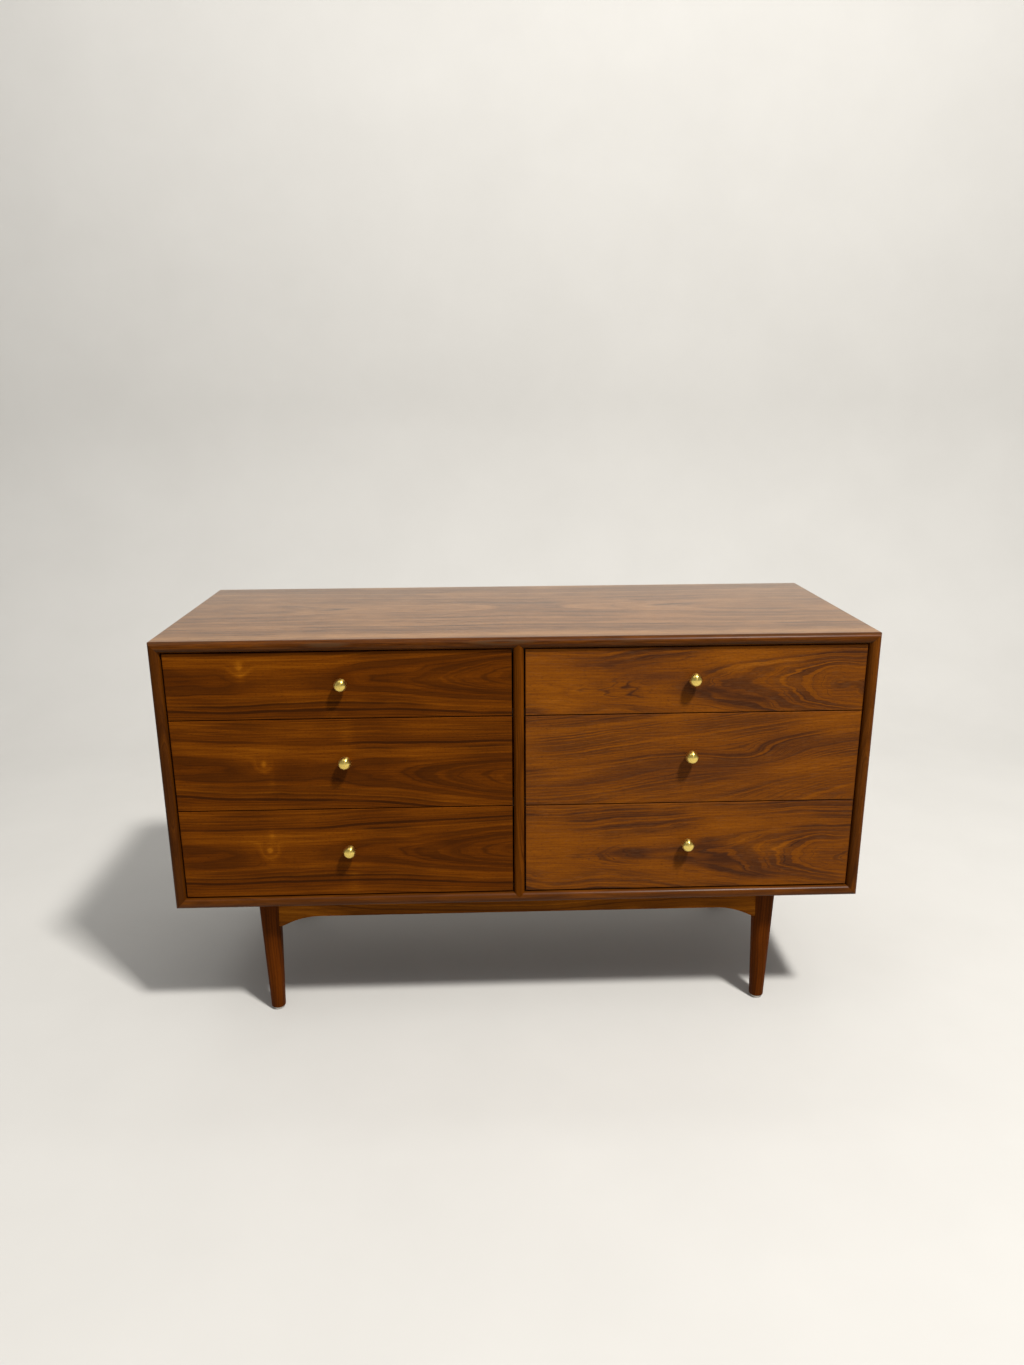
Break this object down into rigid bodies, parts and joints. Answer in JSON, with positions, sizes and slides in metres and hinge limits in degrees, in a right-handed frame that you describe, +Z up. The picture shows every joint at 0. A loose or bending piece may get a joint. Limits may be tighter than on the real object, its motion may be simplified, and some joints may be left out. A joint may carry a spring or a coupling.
{
  "type": "dresser with drawers",
  "caption": "Low walnut dresser: mitred case with round edges, two columns of inset sliding drawers with ball knobs, on four tapered legs with arched aprons",
  "frame": {"origin": "on the floor under the middle of the whole piece's bounding box, closed, knobs included", "axes": "+X to the right as seen from the front, +Y to the back, +Z up; the drawer faces look along -Y"},
  "size_m": [1.32, 0.5308, 0.786],
  "materials": {
    "walnut_case": "satin lacquered walnut veneer with solid rounded edges",
    "walnut_left_fronts": "satin lacquered walnut veneer, warm brown, grain across",
    "walnut_right_fronts": "satin lacquered walnut veneer, redder with dark streaks, grain across",
    "walnut_base": "satin lacquered solid walnut",
    "plain_wood": "bare planed hardwood",
    "plywood": "bare sanded plywood",
    "satin_brass": "turned satin brass",
    "zinc_steel": "zinc plated",
    "white_nylon": "moulded nylon"
  },
  "bodies": {
    "case": {"top_panel": "walnut_case", "bottom_panel": "walnut_case", "left_side_panel": "walnut_case", "right_side_panel": "walnut_case", "centre_divider": "walnut_case", "back_panel": "plywood", "drawer_rails": "plain_wood", "drawer_runners": "plain_wood", "wood_screws": "zinc_steel", "front_left_leg": "walnut_base", "front_right_leg": "walnut_base", "back_left_leg": "walnut_base", "back_right_leg": "walnut_base", "front_apron": "walnut_base", "back_apron": "walnut_base", "left_apron": "walnut_base", "right_apron": "walnut_base", "foot_glides": "white_nylon"},
    "left_bottom_drawer": {"left_bottom_drawer_front": "walnut_left_fronts", "left_bottom_drawer_left_side": "plain_wood", "left_bottom_drawer_right_side": "plain_wood", "left_bottom_drawer_back": "plain_wood", "left_bottom_drawer_bottom": "plywood", "left_bottom_drawer_knob": "satin_brass", "left_bottom_drawer_knob_screw": "zinc_steel"},
    "left_middle_drawer": {"left_middle_drawer_front": "walnut_left_fronts", "left_middle_drawer_left_side": "plain_wood", "left_middle_drawer_right_side": "plain_wood", "left_middle_drawer_back": "plain_wood", "left_middle_drawer_bottom": "plywood", "left_middle_drawer_knob": "satin_brass", "left_middle_drawer_knob_screw": "zinc_steel"},
    "left_top_drawer": {"left_top_drawer_front": "walnut_left_fronts", "left_top_drawer_left_side": "plain_wood", "left_top_drawer_right_side": "plain_wood", "left_top_drawer_back": "plain_wood", "left_top_drawer_bottom": "plywood", "left_top_drawer_knob": "satin_brass", "left_top_drawer_knob_screw": "zinc_steel"},
    "right_bottom_drawer": {"right_bottom_drawer_front": "walnut_right_fronts", "right_bottom_drawer_left_side": "plain_wood", "right_bottom_drawer_right_side": "plain_wood", "right_bottom_drawer_back": "plain_wood", "right_bottom_drawer_bottom": "plywood", "right_bottom_drawer_knob": "satin_brass", "right_bottom_drawer_knob_screw": "zinc_steel"},
    "right_middle_drawer": {"right_middle_drawer_front": "walnut_right_fronts", "right_middle_drawer_left_side": "plain_wood", "right_middle_drawer_right_side": "plain_wood", "right_middle_drawer_back": "plain_wood", "right_middle_drawer_bottom": "plywood", "right_middle_drawer_knob": "satin_brass", "right_middle_drawer_knob_screw": "zinc_steel"},
    "right_top_drawer": {"right_top_drawer_front": "walnut_right_fronts", "right_top_drawer_left_side": "plain_wood", "right_top_drawer_right_side": "plain_wood", "right_top_drawer_back": "plain_wood", "right_top_drawer_bottom": "plywood", "right_top_drawer_knob": "satin_brass", "right_top_drawer_knob_screw": "zinc_steel"}
  },
  "joints": [
    {"name": "left_bottom_drawer_slide", "type": "slide", "parent": "case", "child": "left_bottom_drawer", "axis": [0, -1, 0], "range_m": [0, 0.36]},
    {"name": "left_middle_drawer_slide", "type": "slide", "parent": "case", "child": "left_middle_drawer", "axis": [0, -1, 0], "range_m": [0, 0.36]},
    {"name": "left_top_drawer_slide", "type": "slide", "parent": "case", "child": "left_top_drawer", "axis": [0, -1, 0], "range_m": [0, 0.36]},
    {"name": "right_bottom_drawer_slide", "type": "slide", "parent": "case", "child": "right_bottom_drawer", "axis": [0, -1, 0], "range_m": [0, 0.36]},
    {"name": "right_middle_drawer_slide", "type": "slide", "parent": "case", "child": "right_middle_drawer", "axis": [0, -1, 0], "range_m": [0, 0.36]},
    {"name": "right_top_drawer_slide", "type": "slide", "parent": "case", "child": "right_top_drawer", "axis": [0, -1, 0], "range_m": [0, 0.36]}
  ]
}
